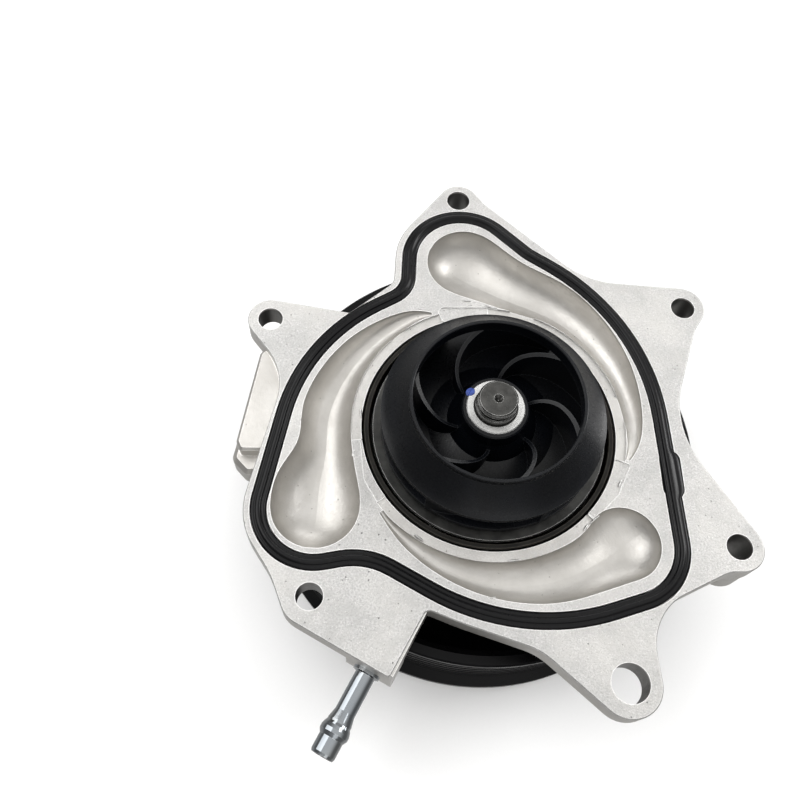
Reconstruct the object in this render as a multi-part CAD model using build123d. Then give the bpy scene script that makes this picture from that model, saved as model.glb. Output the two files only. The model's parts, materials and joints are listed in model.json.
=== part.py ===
from build123d import *
import math
import os

# Vacuum-switched automotive coolant pump.  Millimetres.
# Origin: shaft axis on the machined mounting face.  +Z runs along the shaft towards the impeller,
# +Y towards the top lug of the flange.

# ---- housing casting -------------------------------------------------------------------------
FLANGE_THICKNESS = 9.0
LUG_THICKNESS = 10.0
DEEP_LUG_THICKNESS = 13.0
SHELL_BOTTOM = -16.5
DRUM_RADIUS = 49.0
DRUM_BOTTOM = -25.0
BORE_RADIUS = 45.0
BORE_FLOOR = -22.0
LAND_RADIUS = 48.6
LAND_DEPTH = 0.7
BOSS_RADIUS = 27.0
BOSS_TOP = -3.2
SNOUT_ROOT_RADIUS = 29.0
SNOUT_TIP_RADIUS = 21.5
SNOUT_BOTTOM = -42.5
RIB_COUNT = 6
RIB_THICKNESS = 4.5
WEEP_RADIUS = 20.5
WEEP_DRAIN_RADIUS = 1.5

CAST_CHAMFER = 0.9
FACE_CHAMFER = 0.4

# Outlines roll round circles (x, y, radius): positive bulges, negative is a hollow.
FLANGE_OUTLINE = [
    (-7.5, 98.6, 7.6),
    (-7.0, 69.8, 26.0),
    (-38.8, 62.0, -5.4),
    (-50.4, 46.6, -1.0),
    (-79.1, 42.1, 8.3),
    (-98.5, 14.5, -24.0),
    (-60.0, -30.4, 24.0),
    (-100.5, -67.0, -30.0),
    (-60.7, -60.3, 9.5),
    (-35.6, -83.6, 1.4),
    (-22.2, -66.7, -2.0),
    (15.5, 8.7, 82.0),
    (1.5, -96.3, -22.0),
    (39.9, -86.9, 10.7),
    (70.0, -77.0, -20.0),
    (80.0, -61.3, -10.0),
    (82.4, -42.7, 8.6),
    (106.3, 5.2, -37.0),
    (93.4, 34.2, -15.0),
    (76.2, 51.0, 8.7),
    (54.2, 93.2, -32.0),
    (13.5, 107.3, -14.5),
]
PAD_OUTLINE = [
    (-79.6, 28.0, 3.0),
    (-86.4, -5.4, 2.0),
    (-86.0, -7.4, 1.5),
    (-70.0, -7.0, 2.0),
    (-70.0, 29.0, 2.0),
]
PAD_TOP = -3.0
PAD_FOOT_OUTLINE = [
    (-80.0, 26.0, 3.0),
    (-86.6, -9.0, 3.5),
    (-84.0, -12.5, 3.0),
    (-70.0, -12.0, 2.0),
    (-70.0, 26.0, 2.0),
]
PAD_FOOT_TOP = -8.5
PAD_BOTTOM = -18.0

# Bolt holes: name, x, y, radius, radius of the boss behind it, bottom of that boss.
BOLT_HOLES = [
    ("top", -7.8, 98.6, 4.5, 7.0, -DEEP_LUG_THICKNESS),
    ("left", -79.1, 42.1, 4.5, 7.9, -LUG_THICKNESS),
    ("right", 76.4, 50.6, 4.5, 8.0, -DEEP_LUG_THICKNESS),
    ("bottom_left", -60.7, -60.3, 4.5, 9.0, -LUG_THICKNESS),
    ("bottom_right", 82.4, -42.7, 4.5, 8.2, -22.0),
    ("large", 40.3, -86.7, 6.25, 10.0, -LUG_THICKNESS),
]

# ---- volute channels ---------------------------------------------------------------------------
# Each channel lies between the land's circle and an outer arc (x, y, radius), from the angle of its
# tail to the angle where it opens into a bowl; the throat's stations are (x, y, half width, depth).
CHANNELS = [
    {
        "outer": (-9.0, 10.0, 64.4),
        "tail": -14.0,
        "opens": 79.0,
        "depth": 11.4,
        "throat": [(2.0, 64.3, 13.4, 12.2), (-6.0, 69.0, 14.7, 12.4)],
    },
    {
        "outer": (-13.0, -5.0, 53.9),
        "tail": 113.0,
        "opens": 187.0,
        "depth": 11.0,
        "throat": [(-59.4, -19.0, 13.4, 12.2), (-60.0, -29.5, 15.0, 12.4)],
    },
    {
        "outer": (13.0, -2.0, 60.1),
        "tail": 220.0,
        "opens": 304.0,
        "depth": 7.4,
        "throat": [(39.3, -44.6, 11.7, 8.2), (43.2, -42.0, 12.7, 8.4)],
    },
]
# Plan outlines of the shells that wrap the channels behind the flange.
CHANNEL_SHELLS = [
    [(52.0, -17.0, 6.0), (-9.0, 10.0, 68.4), (-7.0, 69.8, 19.2), (-26.0, 40.0, 6.0), (0.0, 0.0, 10.0)],
    [(-17.0, 50.0, 5.0), (-13.0, -5.0, 57.9), (-60.0, -30.4, 19.0), (-34.0, -38.0, 6.0), (0.0, 0.0, 10.0)],
    [(-38.0, -35.0, 6.0), (13.0, -2.0, 64.1), (43.1, -42.0, 17.5), (38.0, -14.0, 10.0), (0.0, 0.0, 10.0)],
]
CHANNEL_STEPS = 6
TAIL_HALF_WIDTH = 0.8
# Angles round the bowl's quarter ellipse at which the channel's closing sections stand.
BOWL_ANGLES = [22.0, 42.0, 59.0, 73.0, 83.0]
# Recessed land beside each channel: start and end angle.
LAND_SECTORS = [(-15.0, 88.0), (110.0, 187.0), (216.0, 315.0)]
# Low steps that join the lands across the solid tongues between the channels.
TONGUE_STEPS = [
    [(4.6, 48.2, 0.8), (-14.6, 46.4, 2.2), (-14.0, 42.5, 1.0), (5.0, 43.5, 1.0)],
    [(-37.0, -4.0, 1.0), (-44.4, -6.6, 0.8), (-42.6, -20.0, 1.2), (-38.9, -27.4, 0.8), (-33.0, -26.0, 1.0)],
    [(30.0, -28.0, 1.0), (34.4, -32.4, 0.8), (42.2, -24.2, 1.2), (47.6, -14.2, 0.8), (42.0, -12.0, 1.0)],
]
TONGUE_STEP_DEPTH = 0.35

# ---- profile gasket and its groove ------------------------------------------------------------
GASKET_LINE = [
    (-7.0, 69.8, 20.6),
    (-39.0, 62.3, -11.0),
    (-5.6, -9.7, 68.0),
    (-60.0, -30.4, 18.9),
    (-46.8, -72.6, -25.0),
    (15.5, 8.7, 76.4),
    (43.1, -42.0, 19.8),
    (-18.1, 2.3, 79.7),
    (28.0, 85.4, -15.0),
]
GROOVE_HALF_WIDTH = 2.9
GROOVE_DEPTH = 3.2
# Gasket section from its foot to its crown: (z, half width).
GASKET_SECTION = [
    (-3.1, 2.2),
    (-2.5, 2.6),
    (0.3, 2.6),
    (0.6, 2.2),
    (0.6, 1.1),
    (1.0, 0.8),
]
NUB_CENTRE = (62.8, -17.0)
NUB_LENGTH = 18.0
NUB_WIDTH = 7.6

# ---- vacuum nipple -----------------------------------------------------------------------------
NIPPLE_FOOT = (-41.6, -81.4, -12.0)
NIPPLE_HEADING = math.radians(241.5)
NIPPLE_BLOCK_WIDTH = 17.0
NIPPLE_BLOCK_BOTTOM = -24.0
NIPPLE_BLOCK_FOOT_LENGTH = 9.0
NIPPLE_BRIDGE_BOTTOM = -17.0
NIPPLE_SEAT_RADIUS = 4.0
NIPPLE_SEAT_DEPTH = 9.0
NIPPLE_BORE_RADIUS = 2.8
# Outer profile along the axis from the casting face outwards: (distance, radius).
NIPPLE_PROFILE = [
    (0.2, 4.6),
    (1.3, 4.6),
    (1.7, 3.4),
    (14.6, 3.4),
    (17.8, 4.1),
    (18.5, 4.1),
    (19.4, 4.55),
    (20.6, 4.9),
    (21.9, 4.9),
    (22.8, 4.4),
    (23.3, 4.1),
    (28.3, 4.1),
    (29.2, 3.7),
]

# ---- shaft, bearing and shaft seal --------------------------------------------------------------
SHAFT_RADIUS = 8.0
SHAFT_BOTTOM = -50.5
SHAFT_SHOULDER = 0.5
SEAT_RADIUS = 7.1
SHAFT_TOP = 22.8
TIP_RADIUS = 6.7
TIP_GROOVE_RADIUS = 6.0
RACE_OUTER_RADIUS = 17.5
RACE_INNER_RADIUS = 14.3
RACE_TOP = -17.6
RACE_BOTTOM = -42.4
ELEMENT_PITCH_RADIUS = 11.15
ELEMENT_RADIUS = 3.1
ELEMENT_COUNT = 8
BALL_PLANE = -23.8
ROLLER_PLANE = -34.6
ROLLER_LENGTH = 8.0
CAGE_THICKNESS = 2.2
CAGE_POCKET_GAP = 0.15
SEAL_SEAT_RADIUS = 18.0
SEAL_SEAT_BOTTOM = -14.0

# ---- impeller -------------------------------------------------------------------------------------
VANE_COUNT = 6
VANE_PHASE = 80.0
VANE_THICKNESS = 1.4
VANE_INNER_RADIUS = 13.0
VANE_OUTER_RADIUS = 38.0
VANE_SWEEP = math.radians(88.0)
EYE_RADIUS = 28.4
RIM_RADIUS = 38.5
EYE_TOP = 23.7
RIM_TOP = 12.2
SHROUD_THICKNESS = 1.8
SHROUD_FLARE = 1.15
BACK_PLATE_TOP = 2.0
HUB_RADIUS = 11.4
HUB_TOP = 15.9
BUSH_RADIUS = 9.95
BUSH_TOP = 16.5

# ---- ring slide ------------------------------------------------------------------------------------
SLEEVE_OUTER_RADIUS = 44.2
SLEEVE_INNER_RADIUS = 42.3
SLEEVE_TOP = -0.6
WEB_TOP = -18.0
WEB_BOTTOM = -20.2
PISTON_SEAL_BOTTOM = -21.3
COVER_TOP = -1.3
COVER_OUTER_RADIUS = 41.4
SPRING_COUNT = 3
SPRING_CIRCLE_RADIUS = 35.0
SPRING_RADIUS = 3.8
SPRING_WIRE_RADIUS = 0.6
SPRING_TURNS = 7.0
CUP_OUTER_RADIUS = 5.7
CUP_INNER_RADIUS = 4.9
CUP_FLOOR = -30.0
POCKET_RADIUS = 6.5
POCKET_FLOOR = -32.5
COVER_SCREW_CIRCLE_RADIUS = 22.9

# ---- pulley ----------------------------------------------------------------------------------------
PULLEY_TOP = -19.0
PULLEY_BOTTOM = -52.0
REAR_FLANGE_RADIUS = 79.1
FRONT_FLANGE_RADIUS = 81.4
BELT_RADIUS = 78.0
RIB_PITCH = 3.56
RIB_DEPTH = 2.4
BELT_RIBS = 7
REAR_MOUTH_RADIUS = 75.6
RIM_INNER_RADIUS = 73.2
PULLEY_WEB_TOP = -46.5
PULLEY_WEB_THICKNESS = 2.4
HUB_NECK_RADIUS = 12.0
HUB_FLANGE_RADIUS = 23.5
HUB_TOP_FACE = -43.8
PULLEY_SCREW_COUNT = 4
PULLEY_SCREW_CIRCLE_RADIUS = 17.6
PULLEY_SCREW_RADIUS = 3.0


def tangents(circles):
    """Straight run between each circle and the next: (leaving point, meeting point, heading)."""
    runs = []
    for (x1, y1, r1), (x2, y2, r2) in zip(circles, circles[1:] + circles[:1]):
        gap = math.hypot(x2 - x1, y2 - y1)
        heading = math.atan2(y2 - y1, x2 - x1) + math.asin((r1 - r2) / gap)
        across = (math.sin(heading), -math.cos(heading))
        leave = (x1 + r1 * across[0], y1 + r1 * across[1])
        meet = (x2 + r2 * across[0], y2 + r2 * across[1])
        runs.append((leave, meet, heading))
    return runs


def outline(circles, grow=0.0, z=0.0):
    """Closed wire that rolls round the circles, moved outwards by grow."""
    grown = [(x, y, r + grow) for x, y, r in circles]
    if len(grown) == 1:
        return Wire([Edge.make_circle(grown[0][2], Plane((*grown[0][:2], z)))])
    runs = tangents(grown)
    edges = []
    for index, (x, y, r) in enumerate(grown):
        start, heading = runs[index - 1][1:]
        end, meet, last_heading = runs[index]
        if r > 0:
            turn = (last_heading - heading) % math.tau
        else:
            turn = -((heading - last_heading) % math.tau)
        half = heading + turn / 2
        middle = (x + r * math.sin(half), y - r * math.cos(half))
        edges.append(Edge.make_three_point_arc((*start, z), (*middle, z), (*end, z)))
        edges.append(Edge.make_line((*end, z), (*meet, z)))
    return Wire(edges)


def plate(circles, bottom, top, grow=0.0):
    """Solid slab with a rolled outline."""
    face = Face(outline(circles, grow, bottom))
    return Solid.extrude(face, Vector(0, 0, top - bottom))


def bevelled_plate(circles, bottom, top, grow=0.0, low=CAST_CHAMFER, high=FACE_CHAMFER):
    """Slab with a rolled outline and chamfers of its own size round both faces."""
    levels = [(bottom, grow - low), (bottom + low, grow), (top - high, grow), (top, grow - high)]
    rims = [outline(circles, width, z) for z, width in levels]
    slices = [Solid.make_loft([lower, upper], ruled=True) for lower, upper in zip(rims, rims[1:])]
    return slices[0] + slices[1:]


def band(circles, bottom, top, half_width):
    """Closed band of constant width along a rolled centre line."""
    return plate(circles, bottom, top, half_width) - plate(circles, bottom, top, -half_width)


def drum(radius, bottom, top, x=0.0, y=0.0):
    """Upright cylinder between two heights."""
    return Pos(x, y, (bottom + top) / 2) * Cylinder(radius, top - bottom)


def ring(outer, inner, bottom, top, x=0.0, y=0.0):
    """Upright tube between two heights."""
    return drum(outer, bottom, top, x, y) - drum(inner, bottom - 1, top + 1, x, y)


def turned(points):
    """Solid of revolution about Z from (radius, z) corners."""
    profile = Plane.XZ * make_face(Polyline(*points, close=True))
    return revolve(profile, Axis.Z)


def around(count, radius, offset=0.0):
    """Centres evenly spaced on a circle."""
    angles = [offset + math.tau * step / count for step in range(count)]
    return [(radius * math.cos(angle), radius * math.sin(angle)) for angle in angles]


def arc_reach(arc, angle):
    """Distance from the shaft axis to an off-centre arc, along a polar angle."""
    x, y, radius = arc
    ahead = x * math.cos(angle) + y * math.sin(angle)
    aside = x * math.sin(angle) - y * math.cos(angle)
    return ahead + math.sqrt(radius ** 2 - aside ** 2)


def channel_stations(spec):
    """Stations (x, y, half width, depth) from the thin tail to the bowl."""
    stations = []
    for step in range(CHANNEL_STEPS + 1):
        share = step / CHANNEL_STEPS
        angle = math.radians(spec["tail"] + (spec["opens"] - spec["tail"]) * share)
        outer = arc_reach(spec["outer"], angle)
        if step == 0:
            outer = LAND_RADIUS + 2 * TAIL_HALF_WIDTH
        middle = (outer + LAND_RADIUS) / 2
        half_width = (outer - LAND_RADIUS) / 2
        depth = TAIL_HALF_WIDTH + (spec["depth"] - TAIL_HALF_WIDTH) * math.sin(share * math.pi / 2)
        stations.append((middle * math.cos(angle), middle * math.sin(angle), half_width, depth))
    return stations + spec["throat"] + bowl_stations(spec["throat"])


def bowl_stations(throat):
    """Stations that close the channel along a quarter ellipse beyond its throat."""
    (x1, y1, _, _), (x2, y2, half_width, depth) = throat[-2:]
    heading = math.atan2(y2 - y1, x2 - x1)
    stations = []
    for degrees in BOWL_ANGLES:
        angle = math.radians(degrees)
        ahead = half_width * math.sin(angle)
        share = math.cos(angle)
        x = x2 + ahead * math.cos(heading)
        y = y2 + ahead * math.sin(heading)
        stations.append((x, y, half_width * share, depth * share))
    return stations


def channel(stations):
    """Volute channel cutter: elliptic sections lofted along the stations."""
    sections = []
    for index, (x, y, half_width, depth) in enumerate(stations):
        before = stations[max(index - 1, 0)]
        after = stations[min(index + 1, len(stations) - 1)]
        heading = Vector(after[0] - before[0], after[1] - before[1], 0).normalized()
        across = Vector(heading.Y, -heading.X, 0)
        section = Plane(origin=(x, y, 0), x_dir=across, z_dir=heading)
        sections.append(section * Ellipse(half_width, depth))
    return loft(sections)


def nipple_axis(distance=0.0):
    """Plane across the nipple's axis, at a distance outside the casting face."""
    x, y, z = NIPPLE_FOOT
    along = Vector(math.cos(NIPPLE_HEADING), math.sin(NIPPLE_HEADING), 0)
    origin = Vector(x, y, z) + along * distance
    return Plane(origin=origin, x_dir=(0, 0, 1), z_dir=along)


def rod_on(plane, radius, length):
    """Cylinder that starts on a plane and runs along its normal."""
    return plane * Cylinder(radius, length, align=(Align.CENTER, Align.CENTER, Align.MIN))


def connector_block(bottom, top, run):
    """Block behind the nipple's seat, from the casting face inwards."""
    centre_height = (bottom + top) / 2 - NIPPLE_FOOT[2]
    block = Box(top - bottom, NIPPLE_BLOCK_WIDTH, run)
    return nipple_axis(-run / 2 - 0.6) * Pos(centre_height, 0, 0) * block


def make_housing():
    """Die-cast body: flange, volute shells, slide drum, bearing snout, ribs and connector block."""
    body = bevelled_plate(FLANGE_OUTLINE, -FLANGE_THICKNESS, 0)
    for shell in CHANNEL_SHELLS:
        body += bevelled_plate(shell, SHELL_BOTTOM, -2)
    body += bevelled_plate(PAD_OUTLINE, PAD_FOOT_TOP - 2, PAD_TOP, high=CAST_CHAMFER)
    body += bevelled_plate(PAD_FOOT_OUTLINE, PAD_BOTTOM, PAD_FOOT_TOP, high=1.6)
    for _, x, y, _, boss, bottom in BOLT_HOLES:
        body += bevelled_plate([(x, y, boss)], bottom, -1)
    bridge_run = math.hypot(NIPPLE_FOOT[0], NIPPLE_FOOT[1]) - DRUM_RADIUS + 6
    body += connector_block(NIPPLE_BRIDGE_BOTTOM, -1, bridge_run)
    body += connector_block(NIPPLE_BLOCK_BOTTOM, NIPPLE_BRIDGE_BOTTOM + 1, NIPPLE_BLOCK_FOOT_LENGTH)
    body += drum(DRUM_RADIUS, DRUM_BOTTOM, -1)
    body += turned([
        (0, DRUM_BOTTOM + 1),
        (SNOUT_ROOT_RADIUS, DRUM_BOTTOM + 1),
        (SNOUT_TIP_RADIUS, SNOUT_BOTTOM + 2),
        (SNOUT_TIP_RADIUS - 0.8, SNOUT_BOTTOM),
        (0, SNOUT_BOTTOM),
    ])
    for x, y in around(SPRING_COUNT, SPRING_CIRCLE_RADIUS):
        body += drum(POCKET_RADIUS + 3, POCKET_FLOOR - 3, -20, x, y)
    for step in range(RIB_COUNT):
        angle = 360 * (step + 0.5) / RIB_COUNT
        rib = Plane.XZ * make_face(Polyline(
            (SNOUT_TIP_RADIUS - 3, SNOUT_BOTTOM + 4),
            (DRUM_RADIUS - 2, DRUM_BOTTOM - 1),
            (DRUM_RADIUS - 2, DRUM_BOTTOM + 2),
            (SNOUT_TIP_RADIUS - 3, DRUM_BOTTOM + 2),
            close=True,
        ))
        body += Rot(0, 0, angle) * extrude(rib, RIB_THICKNESS / 2, both=True)
    return hollow_housing(body)


def land_cutter(start, end):
    """Shallow sector between the bore and the land's circle."""
    section = Plane.XZ * make_face(Polyline(
        (BORE_RADIUS - 1, -LAND_DEPTH), (LAND_RADIUS, -LAND_DEPTH), (LAND_RADIUS, 1), (BORE_RADIUS - 1, 1),
        close=True))
    return Rot(0, 0, start) * revolve(section, Axis.Z, revolution_arc=end - start)


def hollow_housing(body):
    """Machined and cored hollows of the casting."""
    body -= turned([
        (BOSS_RADIUS, BORE_FLOOR),
        (BORE_RADIUS, BORE_FLOOR),
        (BORE_RADIUS, -0.3),
        (BORE_RADIUS + 0.3, 0),
        (BORE_RADIUS + 0.3, 1),
        (0, 1),
        (0, BOSS_TOP),
        (BOSS_RADIUS, BOSS_TOP),
    ])
    for start, end in LAND_SECTORS:
        body -= land_cutter(start, end)
    for step in TONGUE_STEPS:
        body -= plate(step, -TONGUE_STEP_DEPTH, 1)
    body -= drum(SEAL_SEAT_RADIUS, SEAL_SEAT_BOTTOM, BOSS_TOP + 1)
    body -= drum(WEEP_RADIUS, RACE_TOP + 0.1, SEAL_SEAT_BOTTOM)
    body -= drum(RACE_OUTER_RADIUS, SNOUT_BOTTOM - 1, RACE_TOP + 0.1)
    body -= drum(WEEP_DRAIN_RADIUS, DRUM_BOTTOM - 12, RACE_TOP + 1, 0, -WEEP_RADIUS)
    for x, y in around(SPRING_COUNT, SPRING_CIRCLE_RADIUS):
        body -= drum(POCKET_RADIUS, POCKET_FLOOR, BORE_FLOOR + 1, x, y)
    for x, y in around(SPRING_COUNT, COVER_SCREW_CIRCLE_RADIUS, math.pi / 3):
        body -= drum(1.65, BOSS_TOP - 8, BOSS_TOP + 1, x, y)
    for _, x, y, radius, _, bottom in BOLT_HOLES:
        body -= drum(radius, bottom - 15, 1, x, y)
    for spec in CHANNELS:
        body -= channel(channel_stations(spec))
    body -= band(GASKET_LINE, -GROOVE_DEPTH, 1, GROOVE_HALF_WIDTH)
    nub = Pos(*NUB_CENTRE, -GROOVE_DEPTH) * SlotOverall(NUB_LENGTH, NUB_WIDTH, rotation=90)
    body -= extrude(nub, GROOVE_DEPTH + 1)
    body -= rod_on(nipple_axis(-NIPPLE_SEAT_DEPTH), NIPPLE_SEAT_RADIUS, NIPPLE_SEAT_DEPTH + 5)
    body -= rod_on(nipple_axis(-52), 1.5, 50)
    return body


def make_gasket():
    """Moulded profile gasket: foot, chamfered flanks and a raised bead."""
    body = None
    for (low, wide), (high, narrow) in zip(GASKET_SECTION, GASKET_SECTION[1:]):
        if high - low < 0.01:
            continue
        outer = Solid.make_loft(
            [outline(GASKET_LINE, wide, low), outline(GASKET_LINE, narrow, high)], ruled=True)
        inner = Solid.make_loft(
            [outline(GASKET_LINE, -wide, low), outline(GASKET_LINE, -narrow, high)], ruled=True)
        layer = outer - inner
        body = layer if body is None else body + layer
    nub = Pos(*NUB_CENTRE, -2.8) * SlotOverall(NUB_LENGTH - 0.8, NUB_WIDTH - 0.8, rotation=90)
    return body + extrude(nub, 3.1)


def make_nipple():
    """Turned and plated steel nipple with a stub pressed into the casting."""
    corners = [(NIPPLE_BORE_RADIUS, -NIPPLE_SEAT_DEPTH), (NIPPLE_SEAT_RADIUS, -NIPPLE_SEAT_DEPTH)]
    corners += [(NIPPLE_SEAT_RADIUS, NIPPLE_PROFILE[0][0])]
    corners += [(radius, distance) for distance, radius in NIPPLE_PROFILE]
    corners += [(NIPPLE_BORE_RADIUS + 0.4, NIPPLE_PROFILE[-1][0])]
    corners += [(NIPPLE_BORE_RADIUS, NIPPLE_PROFILE[-1][0] - 0.6)]
    return nipple_axis() * turned(corners)


def make_shaft():
    """Hardened shaft: pulley end, bearing journal, impeller seat and grooved tip."""
    return turned([
        (0, SHAFT_BOTTOM),
        (SHAFT_RADIUS - 0.8, SHAFT_BOTTOM),
        (SHAFT_RADIUS, SHAFT_BOTTOM + 0.8),
        (SHAFT_RADIUS, SHAFT_SHOULDER - 0.5),
        (SHAFT_RADIUS - 0.5, SHAFT_SHOULDER),
        (SEAT_RADIUS, SHAFT_SHOULDER),
        (SEAT_RADIUS, 19.0),
        (SEAT_RADIUS - 0.4, 19.4),
        (TIP_GROOVE_RADIUS, 19.4),
        (TIP_GROOVE_RADIUS, 20.7),
        (TIP_RADIUS, 20.9),
        (TIP_RADIUS, SHAFT_TOP - 0.5),
        (TIP_RADIUS - 0.5, SHAFT_TOP),
        (1.6, SHAFT_TOP),
        (0, SHAFT_TOP - 1.6),
    ])


def make_outer_race():
    """Common outer race of the ball and roller rows."""
    return ring(RACE_OUTER_RADIUS, RACE_INNER_RADIUS, RACE_BOTTOM, RACE_TOP)


def make_balls():
    return [Pos(x, y, BALL_PLANE) * Sphere(ELEMENT_RADIUS)
            for x, y in around(ELEMENT_COUNT, ELEMENT_PITCH_RADIUS)]


def make_rollers():
    half = ROLLER_LENGTH / 2
    return [drum(ELEMENT_RADIUS, ROLLER_PLANE - half, ROLLER_PLANE + half, x, y)
            for x, y in around(ELEMENT_COUNT, ELEMENT_PITCH_RADIUS)]


def cage(bottom, top, pockets):
    """Snap cage: a thin ring on the pitch circle with one pocket for each rolling element."""
    half = CAGE_THICKNESS / 2
    body = ring(ELEMENT_PITCH_RADIUS + half, ELEMENT_PITCH_RADIUS - half, bottom, top)
    for pocket in pockets:
        body -= pocket
    return body


def make_ball_cage():
    hole = Rot(0, 90, 0) * Cylinder(ELEMENT_RADIUS + CAGE_POCKET_GAP, 3 * CAGE_THICKNESS)
    pockets = [Rot(0, 0, 360 * step / ELEMENT_COUNT) * Pos(ELEMENT_PITCH_RADIUS, 0, BALL_PLANE) * hole
               for step in range(ELEMENT_COUNT)]
    return cage(BALL_PLANE - 3.9, BALL_PLANE + 3.9, pockets)


def make_roller_cage():
    half = ROLLER_LENGTH / 2 + CAGE_POCKET_GAP
    pockets = [drum(ELEMENT_RADIUS + CAGE_POCKET_GAP, ROLLER_PLANE - half, ROLLER_PLANE + half, x, y)
               for x, y in around(ELEMENT_COUNT, ELEMENT_PITCH_RADIUS)]
    return cage(ROLLER_PLANE - 5.6, ROLLER_PLANE + 5.6, pockets)


def make_bearing_seals():
    """Lip seal at each end of the bearing, held in the outer race."""
    lip = SHAFT_RADIUS + 0.35
    return [
        ring(RACE_INNER_RADIUS, lip, RACE_TOP - 1.4, RACE_TOP - 0.4),
        ring(RACE_INNER_RADIUS, lip, RACE_BOTTOM + 0.4, RACE_BOTTOM + 1.4),
    ]


def make_seal_cup():
    """Deep-drawn cup of the shaft seal, pressed into the central boss."""
    return turned([
        (10.0, SEAL_SEAT_BOTTOM),
        (SEAL_SEAT_RADIUS, SEAL_SEAT_BOTTOM),
        (SEAL_SEAT_RADIUS, BOSS_TOP - 0.4),
        (SEAL_SEAT_RADIUS - 0.9, BOSS_TOP - 0.4),
        (SEAL_SEAT_RADIUS - 0.9, SEAL_SEAT_BOTTOM + 0.9),
        (10.0, SEAL_SEAT_BOTTOM + 0.9),
    ])


def make_seal_bellows():
    """Rubber bellows between the cup and the carbon ring."""
    return turned([
        (14.6, SEAL_SEAT_BOTTOM + 0.9),
        (SEAL_SEAT_RADIUS - 0.9, SEAL_SEAT_BOTTOM + 0.9),
        (SEAL_SEAT_RADIUS - 0.9, -9.6),
        (15.4, -8.6),
        (15.4, -7.2),
        (12.9, -7.2),
        (12.9, -9.2),
        (14.4, -9.2),
        (15.8, -10.4),
        (15.8, -12.0),
        (14.6, -12.0),
    ])


def coil(radius, wire, bottom, top, turns, x=0.0, y=0.0):
    """Round-wire compression spring."""
    path = Helix(pitch=(top - bottom - 2 * wire) / turns, height=top - bottom - 2 * wire, radius=radius)
    section = Plane(origin=path @ 0, z_dir=path % 0) * Circle(wire)
    return Pos(x, y, bottom + wire) * sweep(section, path=path, is_frenet=True)


def make_seal_spring():
    return coil(11.6, 0.6, SEAL_SEAT_BOTTOM + 0.95, -9.85, 2.0)


def make_carbon_ring():
    """Stationary sealing ring with a narrow raised face."""
    return turned([
        (9.3, -9.8),
        (12.9, -9.8),
        (12.9, -6.6),
        (11.9, -6.1),
        (10.1, -6.1),
        (9.3, -6.6),
    ])


def make_mating_ring():
    """Hard counter-ring that turns with the shaft."""
    return ring(15.2, 9.6, -6.0, -3.6)


def make_mating_boot():
    """Rubber boot that drives the counter-ring from the shaft."""
    return turned([
        (SHAFT_RADIUS, -6.4),
        (9.1, -6.4),
        (9.6, -6.0),
        (9.6, -3.6),
        (15.2, -3.6),
        (15.2, -2.4),
        (SHAFT_RADIUS, -2.4),
    ])


def shroud_curve(radius):
    """Height of the shroud's outer surface: steep at the eye, flaring to the rim."""
    share = (RIM_RADIUS - radius) / (RIM_RADIUS - EYE_RADIUS - 1.3)
    return RIM_TOP + (EYE_TOP - 2.6 - RIM_TOP) * max(share, 0.0) ** SHROUD_FLARE


def shroud_profile(offset):
    """Points of the flared surface from the rim inwards, lowered by an offset."""
    steps = 7
    inner = EYE_RADIUS + 1.3
    radii = [RIM_RADIUS + (inner - RIM_RADIUS) * step / steps for step in range(steps + 1)]
    return [(radius, shroud_curve(radius) - offset) for radius in radii]


def shroud_belly():
    """Underside curve of the shroud, from the eye's throat out to the rim."""
    under = [(r, 0, z) for r, z in shroud_profile(SHROUD_THICKNESS)][:-1]
    return Spline((EYE_RADIUS, 0, EYE_TOP - 5.2), *reversed(under))


def make_shroud():
    """Front shroud ring with a thin lip round the eye."""
    flare = Spline(*[(r, 0, z) for r, z in shroud_profile(0.0)])
    lip = Polyline(
        (EYE_RADIUS + 1.3, 0, EYE_TOP - 2.6),
        (EYE_RADIUS + 1.2, 0, EYE_TOP - 0.3),
        (EYE_RADIUS + 0.9, 0, EYE_TOP),
        (EYE_RADIUS + 0.3, 0, EYE_TOP),
        (EYE_RADIUS, 0, EYE_TOP - 0.3),
        (EYE_RADIUS, 0, EYE_TOP - 5.2),
    )
    rim = Line((RIM_RADIUS, 0, RIM_TOP - SHROUD_THICKNESS), (RIM_RADIUS, 0, RIM_TOP))
    return revolve(make_face([flare, lip, shroud_belly(), rim]), Axis.Z)


def vane_outline():
    """Plan shape of one backward-swept vane, between two offset spirals."""
    steps = 6
    spine = []
    for step in range(steps + 1):
        share = step / steps
        radius = VANE_INNER_RADIUS + (VANE_OUTER_RADIUS - VANE_INNER_RADIUS) * share
        angle = -VANE_SWEEP * share ** 1.6
        spine.append(Vector(radius * math.cos(angle), radius * math.sin(angle)))
    line = Spline(*spine)
    left = []
    right = []
    for step in range(steps + 1):
        share = step / steps
        point = line @ share
        tangent = line % share
        half = VANE_THICKNESS / 2 * (0.55 + 0.9 * math.sin(math.pi * (0.15 + 0.6 * share)) * 0.5)
        normal = Vector(-tangent.Y, tangent.X)
        left.append(point + normal * half)
        right.append(point - normal * half)
    nose = ThreePointArc(right[0], line @ 0 - (line % 0) * 0.7, left[0])
    tail = Line(left[-1], right[-1])
    return make_face([Spline(*left), tail, Spline(*reversed(right)), nose])


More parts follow.
